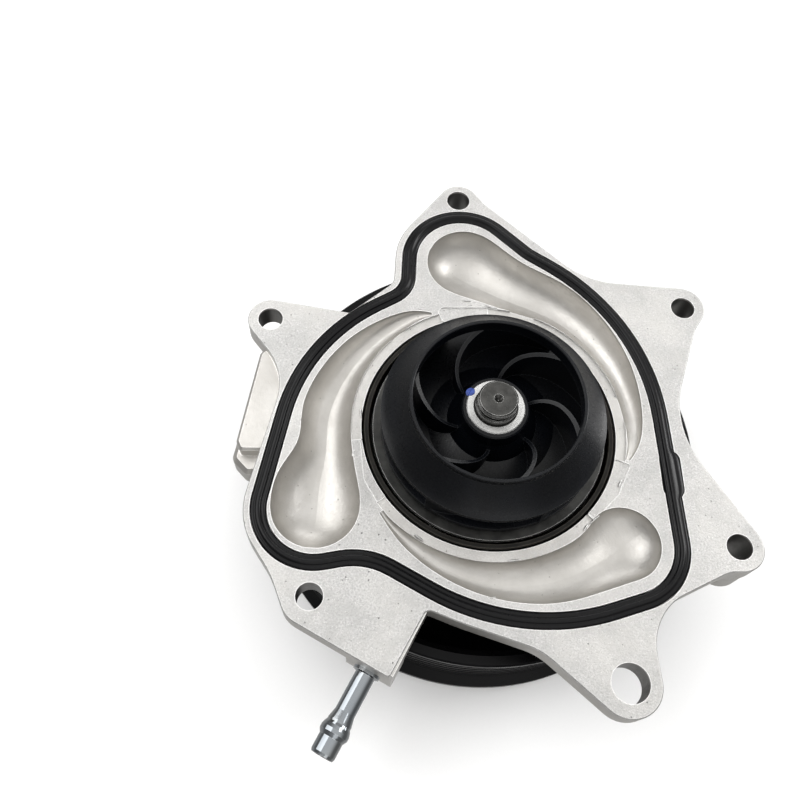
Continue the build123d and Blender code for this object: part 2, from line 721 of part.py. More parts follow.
def make_impeller():
    """Hub, back plate and vanes, moulded in one piece."""
    body = turned([
        (BUSH_RADIUS, 0.2),
        (RIM_RADIUS - 0.4, 0.2),
        (RIM_RADIUS - 0.4, BACK_PLATE_TOP),
        (22.0, BACK_PLATE_TOP + 0.9),
        (15.5, BACK_PLATE_TOP + 3.4),
        (12.2, BACK_PLATE_TOP + 9.0),
        (HUB_RADIUS, HUB_TOP - 0.5),
        (HUB_RADIUS - 0.5, HUB_TOP),
        (BUSH_RADIUS, HUB_TOP),
    ])
    belly = shroud_belly()
    below = Polyline(
        tuple(belly @ 1),
        (RIM_RADIUS, 0, 1.0),
        (BUSH_RADIUS + 1.0, 0, 1.0),
        (BUSH_RADIUS + 1.0, 0, 9.0),
        (VANE_INNER_RADIUS, 0, 9.5),
        (22.0, 0, 15.6),
        tuple(belly @ 0),
    )
    room = revolve(make_face([belly, below]), Axis.Z)
    vane = extrude(vane_outline(), 24) & room
    for step in range(VANE_COUNT):
        body += Rot(0, 0, VANE_PHASE + 360 * step / VANE_COUNT) * vane
    return body


def make_bush():
    """Steel bush moulded into the hub and pressed on the shaft."""
    return turned([
        (SEAT_RADIUS, SHAFT_SHOULDER),
        (BUSH_RADIUS, SHAFT_SHOULDER),
        (BUSH_RADIUS, BUSH_TOP - 0.3),
        (BUSH_RADIUS - 0.3, BUSH_TOP),
        (SEAT_RADIUS + 0.5, BUSH_TOP),
        (SEAT_RADIUS, BUSH_TOP - 0.5),
    ])


def make_ring_slide():
    """Throttling sleeve with its piston web and the three spring cups."""
    body = turned([
        (SLEEVE_INNER_RADIUS, WEB_TOP),
        (SLEEVE_INNER_RADIUS, SLEEVE_TOP - 0.3),
        (SLEEVE_INNER_RADIUS + 0.3, SLEEVE_TOP),
        (SLEEVE_OUTER_RADIUS - 0.3, SLEEVE_TOP),
        (SLEEVE_OUTER_RADIUS, SLEEVE_TOP - 0.3),
        (SLEEVE_OUTER_RADIUS, WEB_BOTTOM),
        (BOSS_RADIUS + 0.5, WEB_BOTTOM),
        (BOSS_RADIUS + 0.5, WEB_TOP),
    ])
    for x, y in around(SPRING_COUNT, SPRING_CIRCLE_RADIUS):
        body += drum(CUP_OUTER_RADIUS, CUP_FLOOR - 0.8, WEB_TOP, x, y)
    for x, y in around(SPRING_COUNT, SPRING_CIRCLE_RADIUS):
        body -= drum(CUP_INNER_RADIUS, CUP_FLOOR, WEB_TOP + 1, x, y)
    return body


def make_outer_piston_seal():
    return ring(BORE_RADIUS - 0.1, 41.6, PISTON_SEAL_BOTTOM, WEB_BOTTOM)


def make_inner_piston_seal():
    return ring(29.1, BOSS_RADIUS + 0.1, PISTON_SEAL_BOTTOM, WEB_BOTTOM)


def make_return_springs():
    return [coil(SPRING_RADIUS, SPRING_WIRE_RADIUS, CUP_FLOOR, BOSS_TOP, SPRING_TURNS, x, y)
            for x, y in around(SPRING_COUNT, SPRING_CIRCLE_RADIUS)]


def make_cover_plate():
    """Pressed plate that closes the slide chamber behind the impeller."""
    body = turned([
        (SEAL_SEAT_RADIUS + 0.4, BOSS_TOP),
        (COVER_OUTER_RADIUS, BOSS_TOP),
        (COVER_OUTER_RADIUS, COVER_TOP - 0.4),
        (COVER_OUTER_RADIUS - 0.4, COVER_TOP),
        (SEAL_SEAT_RADIUS + 0.4, COVER_TOP),
    ])
    for x, y in around(SPRING_COUNT, COVER_SCREW_CIRCLE_RADIUS, math.pi / 3):
        body -= Pos(x, y, COVER_TOP) * Cone(1.7, 3.3, 1.6, align=(Align.CENTER, Align.CENTER, Align.MAX))
        body -= drum(1.7, BOSS_TOP - 1, COVER_TOP, x, y)
    return body


def make_cover_screws():
    """Flat countersunk screws flush with the cover plate."""
    screws = []
    for x, y in around(SPRING_COUNT, COVER_SCREW_CIRCLE_RADIUS, math.pi / 3):
        head = Pos(x, y, COVER_TOP) * Cone(1.6, 3.2, 1.6, align=(Align.CENTER, Align.CENTER, Align.MAX))
        shank = drum(1.6, BOSS_TOP - 7, COVER_TOP - 0.5, x, y)
        recess = Pos(x, y, COVER_TOP) * extrude(RegularPolygon(1.15, 6), -1.0)
        screws.append(head + shank - recess)
    return screws


def make_pulley():
    """Spun steel cup pulley with a poly-V track between two flanges."""
    ribs_width = RIB_PITCH * BELT_RIBS
    track_top = (PULLEY_TOP + PULLEY_BOTTOM + ribs_width) / 2
    outer = [
        (REAR_FLANGE_RADIUS - 0.6, PULLEY_TOP),
        (REAR_FLANGE_RADIUS, PULLEY_TOP - 0.6),
        (REAR_FLANGE_RADIUS, PULLEY_TOP - 2.4),
        (BELT_RADIUS - 0.4, track_top + 0.4),
    ]
    for step in range(BELT_RIBS):
        top = track_top - step * RIB_PITCH
        outer += [
            (BELT_RADIUS, top - 0.5),
            (BELT_RADIUS - RIB_DEPTH, top - RIB_PITCH / 2 + 0.1),
            (BELT_RADIUS - RIB_DEPTH, top - RIB_PITCH / 2 - 0.1),
            (BELT_RADIUS, top - RIB_PITCH + 0.5),
        ]
    outer += [
        (FRONT_FLANGE_RADIUS, PULLEY_BOTTOM + 2.6),
        (FRONT_FLANGE_RADIUS, PULLEY_BOTTOM + 0.6),
        (FRONT_FLANGE_RADIUS - 0.6, PULLEY_BOTTOM),
    ]
    web = PULLEY_WEB_TOP
    low = web - PULLEY_WEB_THICKNESS
    inner = [
        (RIM_INNER_RADIUS + 1.0, PULLEY_BOTTOM),
        (RIM_INNER_RADIUS - 2.0, PULLEY_BOTTOM + 3.0),
        (62.0, low - 1.0),
        (34.0, low - 1.0),
        (29.0, low),
        (HUB_NECK_RADIUS + 0.02, low),
        (HUB_NECK_RADIUS + 0.02, web),
        (28.0, web),
        (33.0, web - 1.0),
        (61.0, web - 1.0),
        (RIM_INNER_RADIUS - 3.0, web + 2.4),
        (RIM_INNER_RADIUS, web + 6.5),
        (RIM_INNER_RADIUS, PULLEY_TOP - 4.0),
        (REAR_MOUTH_RADIUS, PULLEY_TOP - 2.0),
        (REAR_MOUTH_RADIUS, PULLEY_TOP),
    ]
    body = turned(outer + inner)
    for x, y in around(PULLEY_SCREW_COUNT, PULLEY_SCREW_CIRCLE_RADIUS):
        body -= drum(PULLEY_SCREW_RADIUS + 0.3, low - 1, web + 1, x, y)
    return body


def make_pulley_hub():
    """Steel hub pressed on the shaft; the pulley centres on its neck."""
    body = turned([
        (SHAFT_RADIUS, HUB_TOP_FACE),
        (HUB_FLANGE_RADIUS - 0.5, HUB_TOP_FACE),
        (HUB_FLANGE_RADIUS, HUB_TOP_FACE - 0.5),
        (HUB_FLANGE_RADIUS, PULLEY_WEB_TOP),
        (HUB_NECK_RADIUS, PULLEY_WEB_TOP),
        (HUB_NECK_RADIUS, SHAFT_BOTTOM + 0.5),
        (HUB_NECK_RADIUS - 0.5, SHAFT_BOTTOM),
        (SHAFT_RADIUS, SHAFT_BOTTOM),
    ])
    for x, y in around(PULLEY_SCREW_COUNT, PULLEY_SCREW_CIRCLE_RADIUS):
        body -= drum(PULLEY_SCREW_RADIUS, PULLEY_WEB_TOP - 1, HUB_TOP_FACE + 1, x, y)
    return body


def make_pulley_screws():
    """Low-head screws through the pulley web into the hub."""
    under_head = PULLEY_WEB_TOP - PULLEY_WEB_THICKNESS
    screws = []
    for x, y in around(PULLEY_SCREW_COUNT, PULLEY_SCREW_CIRCLE_RADIUS):
        head = drum(5.0, under_head - 2.7, under_head, x, y)
        socket = Pos(x, y, under_head - 2.7) * extrude(RegularPolygon(2.3, 6), 1.6)
        shank = drum(PULLEY_SCREW_RADIUS, under_head - 0.5, HUB_TOP_FACE, x, y)
        screws.append(head + shank - socket)
    return screws


PARTS = {
    "housing": make_housing,
    "profile_gasket": make_gasket,
    "vacuum_nipple": make_nipple,
    "pump_shaft": make_shaft,
    "bearing_outer_race": make_outer_race,
    "bearing_balls": make_balls,
    "ball_cage": make_ball_cage,
    "bearing_rollers": make_rollers,
    "roller_cage": make_roller_cage,
    "bearing_seals": make_bearing_seals,
    "seal_cup": make_seal_cup,
    "seal_bellows": make_seal_bellows,
    "seal_spring": make_seal_spring,
    "seal_carbon_ring": make_carbon_ring,
    "seal_mating_ring": make_mating_ring,
    "seal_mating_boot": make_mating_boot,
    "impeller": make_impeller,
    "impeller_shroud": make_shroud,
    "impeller_bush": make_bush,
    "ring_slide": make_ring_slide,
    "slide_outer_seal": make_outer_piston_seal,
    "slide_inner_seal": make_inner_piston_seal,
    "slide_return_springs": make_return_springs,
    "slide_cover_plate": make_cover_plate,
    "cover_plate_screws": make_cover_screws,
    "pulley": make_pulley,
    "pulley_hub": make_pulley_hub,
    "pulley_screws": make_pulley_screws,
}


def main():
    os.makedirs("parts", exist_ok=True)
    for name, make in PARTS.items():
        made = make()
        pieces = made if isinstance(made, list) else [made]
        solids = [solid for piece in pieces for solid in piece.solids()]
        export_step(Compound(solids), f"parts/{name}.step")
        print(name, len(solids), round(sum(solid.volume for solid in solids), 1))


main()
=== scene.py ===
import bpy
import bmesh
import json
import math
from mathutils import Matrix, Vector, noise


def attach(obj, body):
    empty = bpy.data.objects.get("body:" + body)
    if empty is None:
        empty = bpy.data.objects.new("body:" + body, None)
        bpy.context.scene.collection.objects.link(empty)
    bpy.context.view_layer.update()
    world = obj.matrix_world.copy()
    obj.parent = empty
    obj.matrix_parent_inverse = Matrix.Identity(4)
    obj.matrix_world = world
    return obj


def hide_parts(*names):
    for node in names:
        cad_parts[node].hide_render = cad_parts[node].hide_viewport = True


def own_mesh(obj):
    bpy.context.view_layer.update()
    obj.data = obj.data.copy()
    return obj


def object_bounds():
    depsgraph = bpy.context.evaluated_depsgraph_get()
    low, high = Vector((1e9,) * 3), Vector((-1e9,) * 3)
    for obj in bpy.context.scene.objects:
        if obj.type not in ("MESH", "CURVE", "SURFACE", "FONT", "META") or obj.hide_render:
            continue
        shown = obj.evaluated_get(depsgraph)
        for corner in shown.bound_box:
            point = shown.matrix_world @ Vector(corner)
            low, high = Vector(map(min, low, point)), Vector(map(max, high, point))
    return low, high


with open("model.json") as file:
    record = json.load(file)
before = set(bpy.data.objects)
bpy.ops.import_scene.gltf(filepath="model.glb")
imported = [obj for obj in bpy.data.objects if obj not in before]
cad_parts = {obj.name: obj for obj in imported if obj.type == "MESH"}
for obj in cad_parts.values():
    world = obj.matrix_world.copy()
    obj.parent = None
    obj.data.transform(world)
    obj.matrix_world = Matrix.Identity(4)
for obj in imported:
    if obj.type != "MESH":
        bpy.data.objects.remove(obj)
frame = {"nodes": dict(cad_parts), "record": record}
CAD_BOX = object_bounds()
NODES = frame["nodes"]
MM = 0.001

# ---- camera, lights and stage, in millimetres unless named otherwise -----------------------------
CAMERA_PLACE = Vector((-44.92, -125.56, 281.46)) * MM
CAMERA_AIM = Vector((-31.43, 9.74, 0.0)) * MM
CAMERA_ROLL = math.radians(-0.2)
CAMERA_LENS = 39.6
# The paper: a round floor, a curve up and a wall, in metres.
FLOOR_DROP = 0.0002
FLOOR_REACH = 2.4
FLOOR_RINGS = 4
FLOOR_CURVE = 1.2
CURVE_STEPS = 8
FLOOR_SIDES = 96
WALL_HEIGHT = 4.0
SOFT_LIGHTS = [
    # name, place (m), aim (m), width (m), height (m), power (W)
    ("key_left", (-0.75, 0.35, 0.75), (0.0, 0.0, 0.0), 1.1, 1.1, 9.0),
    ("fill_right", (0.95, 0.3, 0.35), (0.0, 0.0, -0.02), 0.35, 1.1, 7.0),
    ("fill_front", (0.1, -1.0, 0.5), (0.0, 0.0, -0.02), 1.0, 0.3, 1.0),
    ("rim_back", (0.25, 0.95, 0.4), (0.0, 0.0, 0.0), 1.2, 0.35, 4.0),
]
# The ceiling is brightest in this direction and dims to the walls; below them the paper gives light
# back. Each fade runs between two cosines of the angle from that direction.
CEILING = Vector((0.15, -0.05, 0.98)).normalized()
CEILING_FADE = (0.25, 1.0)
CEILING_LIGHT = 1.25
WALL_LIGHT = 0.24
PAPER_FADE = (-0.10, -0.60)
PAPER_LIGHT = 0.34

# ---- refined pieces, in millimetres --------------------------------------------------------------
# Centre line of the profile gasket: it rolls round these circles (x, y, radius; negative is a hollow).
GASKET_LINE = [
    (-7.0, 69.8, 20.6),
    (-39.0, 62.3, -11.0),
    (-5.6, -9.7, 68.0),
    (-60.0, -30.4, 18.9),
    (-46.8, -72.6, -25.0),
    (15.5, 8.7, 76.4),
    (43.1, -42.0, 19.8),
    (-18.1, 2.3, 79.7),
    (28.0, 85.4, -15.0),
]
GASKET_HALF_WIDTH = 2.6
GASKET_FOOT = -3.0
GASKET_VALLEY = 0.05
GASKET_SHOULDER = 0.25
GASKET_CROWN = 1.0
GASKET_EDGE_DROP = 0.35
GASKET_EDGE_SQUARENESS = 6
GASKET_FOOT_INSET = 0.1
BEAD_SHARE = 0.42
SHOULDER_SHARE = 0.9
GASKET_STEP = 1.2
GASKET_SIDE_STEPS = 16
NUB_PLACE = Vector((62.6, -17.0))
NUB_REACH = 9.0
NUB_SWELL = 1.7
NUB_SQUARENESS = 6
# Flash left by the casting die: place (x, y, z), heading in degrees, length, height.
FLASH_BURRS = [
    (6.2, -48.0, -0.1, 5.0, 4.2, 0.5),
    (-25.4, -40.6, -0.1, -35.0, 3.6, 0.4),
    (-2.0, -60.4, -0.1, 12.0, 2.8, 0.4),
    (34.2, -33.6, -0.1, 40.0, 4.6, 0.5),
    (31.0, -36.4, -0.2, 55.0, 2.6, 0.4),
    (-6.0, 51.7, -0.1, -8.0, 4.4, 0.55),
    (1.6, 49.4, -0.1, -12.0, 3.6, 0.5),
    (-45.2, 4.5, -0.1, 95.0, 3.2, 0.35),
    (-47.6, -10.6, -0.1, 75.0, 2.8, 0.35),
    (44.3, -20.6, -0.1, 62.0, 3.0, 0.35),
]
BURR_STEPS = 14
BURR_FOOT = -0.05
BURR_LEAST_HEIGHT = 0.03
BURR_END_HALF_WIDTH = 0.10
BURR_SWELL = 0.32
BURR_LEAN = 0.25
BURR_SEED_STEP = 7.3
# Inspection paint across the step from the bush's face down to the hub's.
BUSH_FACE = 16.52
HUB_FACE = 15.92
BUSH_EDGE = 9.85
BUSH_EDGE_RUN = 0.35
PAINT_DIRECTION = math.radians(147.0)
PAINT_SPREAD = 0.17
PAINT_RADIUS = 10.0
PAINT_REACH = 1.5
PAINT_DOME = 0.10
PAINT_LIFT = 0.02
PAINT_SINK = 0.08
PAINT_STEPS = 12
PAINT_SIDE_STEPS = 4

# ---- finishes ------------------------------------------------------------------------------------
BEVEL_SAMPLES = 6
SMOOTH_COSINE = 0.995
SHARP_COSINE = 0.90
BORE_MARGIN = 0.0003
BORE_SHADE = 0.85
BY_RADIUS = 0
BY_HEIGHT = 2
# Turned and ground steels: dark tone, bright tone, roughness, pitch of the lathe lines (m), their run.
STEELS = {
    "shaft_steel": ((0.045, 0.045, 0.043), (0.095, 0.094, 0.09), 0.27, 0.0003, BY_RADIUS),
    "bearing_steel": ((0.55, 0.55, 0.56), (0.68, 0.68, 0.69), 0.16, 0.00018, BY_HEIGHT),
    "bush_steel": ((0.50, 0.50, 0.49), (0.66, 0.66, 0.65), 0.34, 0.0002, BY_RADIUS),
    "seal_steel": ((0.52, 0.51, 0.49), (0.64, 0.63, 0.61), 0.22, 0.00018, BY_HEIGHT),
    "cover_steel": ((0.035, 0.035, 0.034), (0.07, 0.07, 0.067), 0.32, 0.0003, BY_RADIUS),
    "screw_steel": ((0.42, 0.42, 0.40), (0.56, 0.56, 0.53), 0.28, 0.00018, BY_HEIGHT),
    "hub_steel": ((0.16, 0.16, 0.155), (0.25, 0.25, 0.24), 0.36, 0.00018, BY_HEIGHT),
}


# ================================ shader helpers ====================================================

class Shader:
    """A node material that is built line by line."""

    def __init__(self, name):
        self.material = bpy.data.materials.new(name)
        self.material.use_nodes = True
        self.nodes = self.material.node_tree.nodes
        self.links = self.material.node_tree.links
        self.surface = self.nodes["Principled BSDF"]
        self.place = self.nodes.new("ShaderNodeTexCoord").outputs["Object"]

    def add(self, kind, sources=None, **settings):
        """New node; sources maps its inputs to sockets or numbers."""
        node = self.nodes.new("ShaderNode" + kind)
        for key, value in settings.items():
            setattr(node, key, value)
        for key, value in (sources or {}).items():
            self.feed(node.inputs[key], value)
        return node

    def feed(self, socket, value):
        if isinstance(value, bpy.types.NodeSocket):
            self.links.new(value, socket)
        elif isinstance(value, tuple) and len(value) == 3 and len(socket.default_value) == 4:
            socket.default_value = (*value, 1.0)
        else:
            socket.default_value = value

    def noise(self, scale, detail=4.0, roughness=0.55, distortion=0.0):
        """Noise with a scale in features per metre; its value output."""
        sources = {"Vector": self.place, "Scale": scale, "Detail": detail}
        sources.update({"Roughness": roughness, "Distortion": distortion})
        return self.add("TexNoise", sources).outputs["Fac"]

    def cells(self, scale):
        """Distance to the nearest of scattered points, with a scale in points per metre."""
        return self.add("TexVoronoi", {"Vector": self.place, "Scale": scale}).outputs["Distance"]

    def remap(self, value, low, high, to_low=0.0, to_high=1.0):
        """Smooth step of a value from one range to another."""
        sources = {"Value": value, "From Min": low, "From Max": high}
        sources.update({"To Min": to_low, "To Max": to_high})
        return self.add("MapRange", sources, interpolation_type="SMOOTHSTEP").outputs["Result"]

    def maths(self, operation, first, second=0.0, third=0.0):
        return self.add("Math", {0: first, 1: second, 2: third}, operation=operation).outputs[0]

    def blend(self, factor, first, second):
        """Mix of two colours."""
        node = self.nodes.new("ShaderNodeMix")
        node.data_type = "RGBA"
        self.feed(node.inputs[0], factor)
        self.feed(node.inputs[6], first)
        self.feed(node.inputs[7], second)
        return node.outputs[2]

    def split(self, vector):
        return self.add("SeparateXYZ", {0: vector}).outputs

    def edge(self, radius):
        """1 on sharp convex or hollow edges, 0 on smooth faces."""
        rounded = self.add("Bevel", {"Radius": radius}, samples=BEVEL_SAMPLES).outputs[0]
        flat = self.add("NewGeometry").outputs["Normal"]
        dot = self.add("VectorMath", {0: rounded, 1: flat}, operation="DOT_PRODUCT").outputs["Value"]
        return self.remap(dot, SMOOTH_COSINE, SHARP_COSINE)

    def bump(self, height, distance, strength):
        sources = {"Height": height, "Distance": distance, "Strength": strength}
        return self.add("Bump", sources).outputs["Normal"]

    def finish(self, color, roughness, normal=None, **constants):
        """Connects the main sockets; constants are set on the shader itself."""
        self.feed(self.surface.inputs["Base Color"], color)
        self.feed(self.surface.inputs["Roughness"], roughness)
        if normal is not None:
            self.feed(self.surface.inputs["Normal"], normal)
        for key, value in constants.items():
            self.feed(self.surface.inputs[key.replace("_", " ")], value)
        return self.material


def turning_lines(shader, pitch, along):
    """Fine grooves left by a lathe, by height on round walls or by radius on end faces."""
    axes = shader.split(shader.place)
    if along == BY_HEIGHT:
        run = axes[2]
    else:
        x2 = shader.maths("MULTIPLY", axes[0], axes[0])
        run = shader.maths("SQRT", shader.maths("MULTIPLY_ADD", axes[1], axes[1], x2))
    wobble = shader.noise(700.0, 2.0)
    phase = shader.maths("MULTIPLY_ADD", run, math.tau / pitch, wobble)
    return shader.maths("SINE", phase)


# ================================ materials =========================================================

def painted_bore_shade(s, height):
    """Mask of the painted shade on the walls of the bolt holes: 1 there, just under the face, and 0
    elsewhere.
    """
    axes = s.split(s.place)
    below = s.remap(height, -0.0006, -0.0012)
    mask = 0.0
    for mount in frame["record"]["mounts"]:
        if mount["kind"] != "bore":
            continue
        x, y, _ = mount["pos_m"]
        away = s.maths("POWER", s.maths("SUBTRACT", axes[0], x), 2.0)
        away = s.maths("ADD", away, s.maths("POWER", s.maths("SUBTRACT", axes[1], y), 2.0))
        reach = mount["dims"]["r_mm"] * MM + BORE_MARGIN
        mask = s.maths("MAXIMUM", mask, s.maths("LESS_THAN", away, reach ** 2))
    return s.maths("MULTIPLY", mask, s.maths("MULTIPLY", below, BORE_SHADE))


def cast_aluminium():
    """Die casting: sandy blasted mounting face, satin drawn channels, smoother edges with a painted
    highlight.
    """
    s = Shader("cast_aluminium")
    height = s.split(s.place)[2]
    face = s.remap(height, -0.0011, -0.0002)
    grain = s.noise(1500.0, 4.0, 0.75)
    coarse = s.noise(620.0, 5.0, 0.65)
    patches = s.noise(34.0, 4.0, 0.6)
    smears = s.noise(95.0, 5.0, 0.6, distortion=1.2)
    specks = s.remap(s.cells(900.0), 0.24, 0.06)
    glints = s.remap(s.cells(1100.0), 0.20, 0.05)
    pits = s.remap(s.cells(300.0), 0.10, 0.03)
    edges = s.edge(0.0006)
    skin = s.blend(s.remap(patches, 0.3, 0.7), (0.47, 0.455, 0.43), (0.60, 0.585, 0.56))
    skin = s.blend(s.remap(smears, 0.45, 0.8, 0.0, 0.35), skin, (0.40, 0.39, 0.365))
    blasted = s.blend(s.remap(grain, 0.34, 0.66), (0.36, 0.355, 0.35), (0.60, 0.595, 0.585))
    blasted = s.blend(s.remap(smears, 0.36, 0.68, 0.0, 0.55), blasted, (0.40, 0.395, 0.385))
    blasted = s.blend(s.remap(patches, 0.35, 0.75, 0.0, 0.45), blasted, (0.64, 0.625, 0.595))
    blasted = s.blend(s.maths("MULTIPLY", specks, 0.35), blasted, (0.20, 0.195, 0.185))
    blasted = s.blend(s.maths("MULTIPLY", glints, 0.5), blasted, (0.95, 0.95, 0.93))
    color = s.blend(face, skin, blasted)
    color = s.blend(s.maths("MULTIPLY", pits, 0.5), color, (0.16, 0.155, 0.15))
    # painted highlight: sharp edges lightened towards near white
    color = s.blend(s.maths("MULTIPLY", edges, 0.75), color, (0.95, 0.945, 0.93))
    # painted shade: the walls of the bolt holes darkened just under the face
    color = s.blend(painted_bore_shade(s, height), color, (0.10, 0.098, 0.094))
    rough_skin = s.remap(coarse, 0.3, 0.7, 0.35, 0.46)
    rough_face = s.remap(grain, 0.3, 0.7, 0.42, 0.60)
    mix = s.add("Mix", {0: face, 2: rough_skin, 3: rough_face}, data_type="FLOAT").outputs[0]
    roughness = s.maths("SUBTRACT", mix, s.maths("MULTIPLY", edges, 0.12))
    relief = s.maths("MULTIPLY_ADD", pits, -2.0, s.maths("MULTIPLY_ADD", coarse, 1.6, grain))
    depth = s.maths("MULTIPLY_ADD", face, 0.75, 0.25)
    normal = s.bump(s.maths("MULTIPLY", relief, depth), 0.00018, 0.8)
    return s.finish(color, roughness, normal, Metallic=0.92)


def gasket_rubber():
    """Satin black rubber with a little talc in its pores."""
    s = Shader("gasket_rubber")
    dust = s.noise(700.0, 5.0, 0.65)
    broad = s.noise(60.0, 3.0)
    edges = s.edge(0.0004)
    color = s.blend(s.remap(dust, 0.50, 0.85), (0.0025, 0.0025, 0.003), (0.009, 0.009, 0.0095))
    # painted highlight: the rubber's sharp edges lightened
    color = s.blend(s.maths("MULTIPLY", edges, 0.2), color, (0.05, 0.05, 0.048))
    roughness = s.remap(broad, 0.3, 0.7, 0.20, 0.30)
    normal = s.bump(dust, 0.00003, 0.4)
    return s.finish(color, roughness, normal, Metallic=0.0, IOR=1.5, Specular_IOR_Level=0.2)


def black_plastic(name, tint, flow=30.0, gloss=0.26, specular=0.2):
    """Moulded glass-filled plastic with faint flow marks."""
    s = Shader(name)
    grain = s.noise(1500.0, 4.0, 0.6)
    swirl = s.noise(flow, 4.0, 0.5, distortion=1.4)
    edges = s.edge(0.0004)
    color = s.blend(s.remap(swirl, 0.35, 0.7), tint, tuple(2.1 * part for part in tint))
    # painted highlight: sharp edges and rims lightened to a bluish grey
    color = s.blend(s.maths("MULTIPLY", edges, 0.4), color, (0.06, 0.063, 0.07))
    roughness = s.remap(grain, 0.3, 0.7, gloss, gloss + 0.12)
    normal = s.bump(grain, 0.00003, 0.4)
    return s.finish(color, roughness, normal, Metallic=0.0, IOR=1.52, Specular_IOR_Level=specular)


def turned_steel(name, dark, bright, rough, pitch, along):
    """Turned or ground steel with lathe lines, stains and a painted highlight on its corners."""
    s = Shader(name)
    lines = turning_lines(s, pitch, along)
    stain = s.noise(140.0, 5.0, 0.6)
    speck = s.noise(2400.0, 2.0)
    edges = s.edge(0.0003)
    color = s.blend(s.remap(stain, 0.3, 0.7), dark, bright)
    # painted highlight: corners and sharp edges lightened
    color = s.blend(s.maths("MULTIPLY", edges, 0.8), color, (0.9, 0.9, 0.882))
    roughness = s.remap(s.maths("ADD", stain, speck), 0.7, 1.3, rough, rough + 0.12)
    relief = s.maths("MULTIPLY_ADD", speck, 1.5, lines)
    normal = s.bump(relief, 0.000012, 0.6)
    return s.finish(color, roughness, normal, Metallic=1.0)


def zinc_plating():
    """Bright zinc plating with a faint yellow-blue cast."""
    s = Shader("zinc_plating")
    cloud = s.noise(220.0, 4.0, 0.55)
    tint = s.noise(55.0, 2.0)
    edges = s.edge(0.0003)
    color = s.blend(s.remap(tint, 0.35, 0.65), (0.33, 0.34, 0.34), (0.27, 0.29, 0.31))
    # painted highlight: sharp edges lightened almost to white
    color = s.blend(s.maths("MULTIPLY", edges, 0.5), color, (0.97, 0.97, 0.95))
    roughness = s.remap(cloud, 0.3, 0.7, 0.08, 0.17)
    normal = s.bump(s.noise(900.0, 3.0), 0.00003, 0.35)
    return s.finish(color, roughness, normal, Metallic=1.0)


def pulley_coat():
    """Black electro-coat with a little orange peel."""
    s = Shader("pulley_coat")
    peel = s.noise(700.0, 3.0, 0.5)
    haze = s.noise(50.0, 4.0, 0.6)
    edges = s.edge(0.0005)
    color = s.blend(s.remap(haze, 0.3, 0.7), (0.0012, 0.0012, 0.0016), (0.0035, 0.0035, 0.004))
    # painted highlight: sharp edges of the coat lightened
    color = s.blend(s.maths("MULTIPLY", edges, 0.2), color, (0.03, 0.03, 0.033))
    roughness = s.remap(haze, 0.3, 0.7, 0.24, 0.36)
    normal = s.bump(peel, 0.00005, 0.5)
    return s.finish(color, roughness, normal, Metallic=0.0, IOR=1.5, Specular_IOR_Level=0.12)


def slide_coating():
    """Dark baked coating on the ring slide, with a painted highlight of dull straw colour at its lip
    and other sharp edges.
    """
    s = Shader("slide_coating")
    cloud = s.noise(120.0, 5.0, 0.6)
    grain = s.noise(1800.0, 3.0)
    edges = s.edge(0.0004)
    color = s.blend(s.remap(cloud, 0.3, 0.7), (0.006, 0.0056, 0.005), (0.016, 0.0145, 0.0125))
    # painted highlight: sharp edges, the lip among them, lightened to a dull straw colour
    color = s.blend(s.maths("MULTIPLY", edges, 0.6), color, (0.20, 0.185, 0.155))
    roughness = s.remap(grain, 0.3, 0.7, 0.30, 0.44)
    normal = s.bump(grain, 0.00003, 0.5)
    return s.finish(color, roughness, normal, Metallic=0.75)


def carbon(name, tone, rough):
    """Lapped carbon or ceramic."""
    s = Shader(name)
    grain = s.noise(3200.0, 4.0, 0.7)
    cloud = s.noise(180.0, 3.0)
    color = s.blend(s.remap(grain, 0.35, 0.7), tone, tuple(1.7 * part for part in tone))
    roughness = s.remap(cloud, 0.3, 0.7, rough, rough + 0.1)
    return s.finish(color, roughness, s.bump(grain, 0.00001, 0.5), Metallic=0.0)


def cage_polyamide():
    s = Shader("cage_polyamide")
    grain = s.noise(900.0, 4.0)
    swirl = s.noise(90.0, 3.0, distortion=1.0)
    color = s.blend(s.remap(swirl, 0.3, 0.7), (0.30, 0.22, 0.13), (0.42, 0.33, 0.21))
    roughness = s.remap(grain, 0.3, 0.7, 0.42, 0.55)
    return s.finish(color, roughness, s.bump(grain, 0.00004, 0.5), Metallic=0.0)


def marking_paint():
    """Blue inspection paint, thin at the edges."""
    s = Shader("marking_paint")
    streak = s.noise(800.0, 5.0, 0.6)
    color = s.blend(s.remap(streak, 0.35, 0.7), (0.012, 0.035, 0.20), (0.035, 0.08, 0.36))
    roughness = s.remap(streak, 0.3, 0.7, 0.35, 0.55)
    return s.finish(color, roughness, s.bump(streak, 0.00008, 0.6), Metallic=0.0)


def floor_paper():
    """Pale seamless paper."""
    s = Shader("floor_paper")
    fibre = s.noise(900.0, 3.0)
    color = s.blend(fibre, (0.92, 0.92, 0.92), (0.95, 0.95, 0.95))
    return s.finish(color, 0.9, Metallic=0.0, Specular_IOR_Level=0.1)


